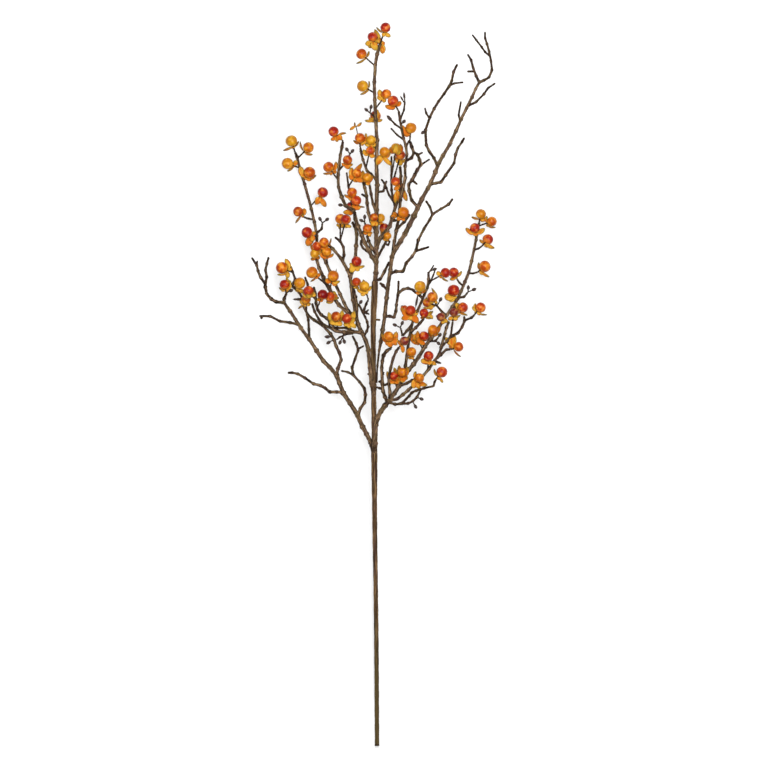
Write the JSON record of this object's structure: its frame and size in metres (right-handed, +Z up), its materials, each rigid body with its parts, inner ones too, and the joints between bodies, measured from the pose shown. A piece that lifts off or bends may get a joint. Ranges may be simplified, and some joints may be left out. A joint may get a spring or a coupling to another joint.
{
  "type": "bittersweet berry branch",
  "caption": "Cut branch of bittersweet lying down: a straight wrapped stem with forked twigs, buds and round yellow, orange and red berries in open pointed husks.",
  "frame": {"origin": "on the surface the branch lies on, under the middle of its box", "axes": "+Y along the branch from the cut end towards the top berries, +Z up from the surface, +X to the right as seen from above"},
  "size_m": [0.2452, 0.7237, 0.0835],
  "materials": {
    "stem_bark": "matte",
    "spray": "satin"
  },
  "bodies": {
    "root": {"main_stem": "stem_bark", "centre_spray": "spray", "left_berry_spray": "spray", "left_low_spray": "spray", "right_tall_spray": "spray", "right_berry_spray": "spray"}
  },
  "joints": []
}
